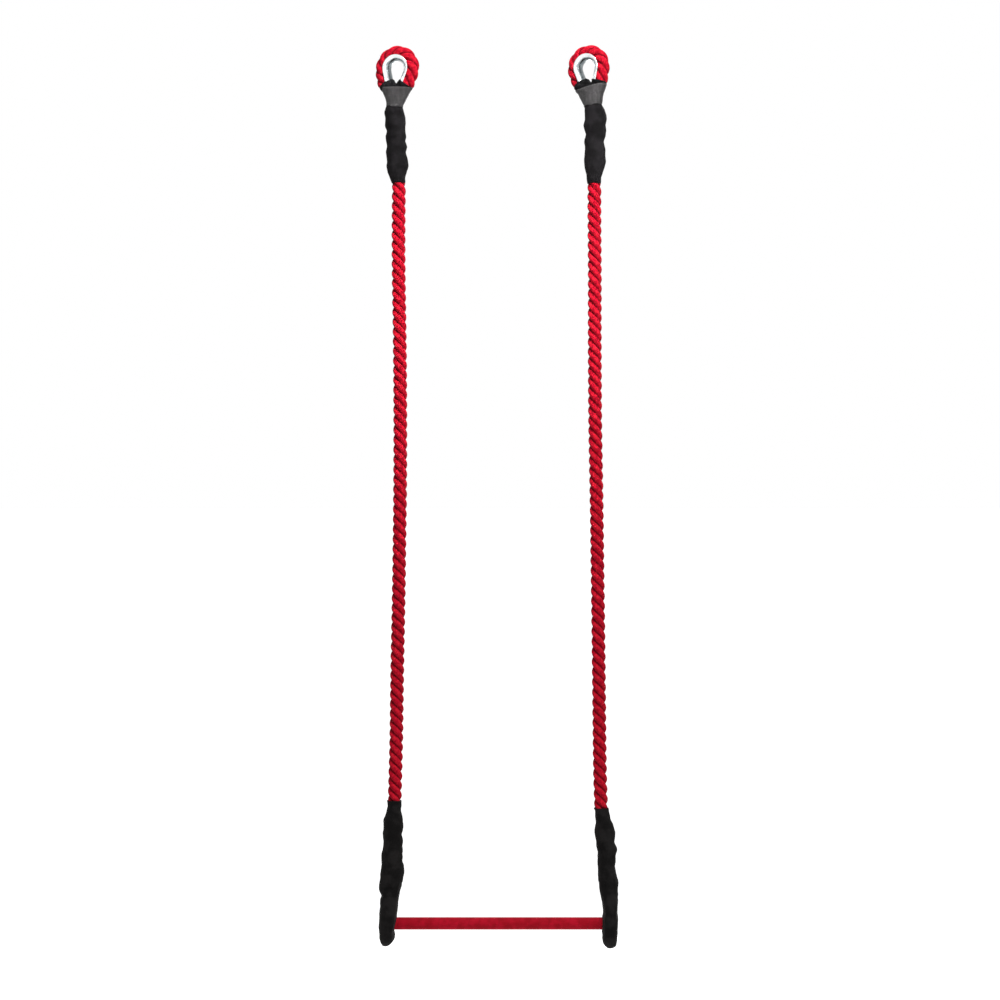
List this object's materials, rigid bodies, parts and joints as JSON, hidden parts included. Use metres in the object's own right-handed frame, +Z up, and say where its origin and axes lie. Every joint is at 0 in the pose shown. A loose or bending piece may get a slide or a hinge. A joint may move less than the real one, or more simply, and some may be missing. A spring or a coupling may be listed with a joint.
{
  "type": "trapeze bar",
  "caption": "Static trapeze: a taped steel bar hung level between two spliced cotton ropes, with thimble eyes at the top and fabric covers over the splices",
  "frame": {"origin": "over the middle of the bar, on the line that the trapeze hangs from, level with the insides of the tops of the two eyes", "axes": "+X along the bar to the right as seen in the picture, +Y away from the viewer, +Z up along the ropes"},
  "size_m": [0.5798, 0.1062, 2.1567],
  "materials": {
    "rope": "dyed red three-strand cotton rope, soft and matte",
    "core": "undyed cotton strand",
    "zinc": "bright galvanised steel",
    "twine": "waxed black whipping twine",
    "cloth": "black woven fabric, matte",
    "tape": "dark grey vinyl tape with a dull gloss",
    "padding": "felt wadding",
    "leather": "waxed leather",
    "plug": "black nylon",
    "steel": "plain drawn steel",
    "grip": "red cotton grip tape, matte"
  },
  "bodies": {
    "heads": {"left_thimble": "zinc", "left_rope_eye": "rope", "left_throat_seizing": "twine", "left_throat_cloth": "cloth", "left_throat_tape": "tape", "right_thimble": "zinc", "right_rope_eye": "rope", "right_throat_seizing": "twine", "right_throat_cloth": "cloth", "right_throat_tape": "tape"},
    "splices": {"left_upper_splice": "rope", "left_upper_sleeve": "cloth", "right_upper_splice": "rope", "right_upper_sleeve": "cloth"},
    "left_line": {"left_rope": "rope", "left_rope_core": "core"},
    "right_line": {"right_rope": "rope", "right_rope_core": "core"},
    "left_loop": {"left_bar_loop": "rope", "left_splice_padding": "padding", "left_lower_cover": "cloth", "left_chafe_sleeve": "leather"},
    "right_loop": {"right_bar_loop": "rope", "right_splice_padding": "padding", "right_lower_cover": "cloth", "right_chafe_sleeve": "leather"},
    "bar": {"bar_tube": "steel", "bar_tape": "grip", "left_end_plug": "plug", "left_end_washer": "steel", "left_end_bolt": "steel", "right_end_plug": "plug", "right_end_washer": "steel", "right_end_bolt": "steel"}
  },
  "joints": [
    {"name": "swing", "type": "hinge", "parent": "heads", "child": "splices", "pos_m": [0, 0, -0.11783], "axis": [1, 0, 0], "range_deg": [-45, 45]},
    {"name": "left_sway", "type": "hinge", "parent": "splices", "child": "left_line", "pos_m": [-0.239, 0, -0.289], "axis": [0, 1, 0], "range_deg": [-20, 20]},
    {"name": "right_sway", "type": "hinge", "parent": "splices", "child": "right_line", "pos_m": [0.231, 0, -0.289], "axis": [0, 1, 0], "range_deg": [-20, 20]},
    {"name": "left_level", "type": "hinge", "parent": "left_line", "child": "left_loop", "pos_m": [-0.248, 0, -1.783], "axis": [0, 1, 0], "range_deg": [-19, 19]},
    {"name": "right_level", "type": "hinge", "parent": "right_line", "child": "right_loop", "pos_m": [0.248, 0, -1.783], "axis": [0, 1, 0], "range_deg": [-19, 19]},
    {"name": "bar_roll", "type": "hinge", "parent": "left_loop", "child": "bar", "pos_m": [0, 0, -2.068], "axis": [1, 0, 0], "continuous": true}
  ],
  "couplings": [
    {"joint": "right_sway", "follows": "left_sway", "ratio": 1},
    {"joint": "left_level", "follows": "left_sway", "ratio": -0.948},
    {"joint": "right_level", "follows": "left_sway", "ratio": -0.948}
  ]
}
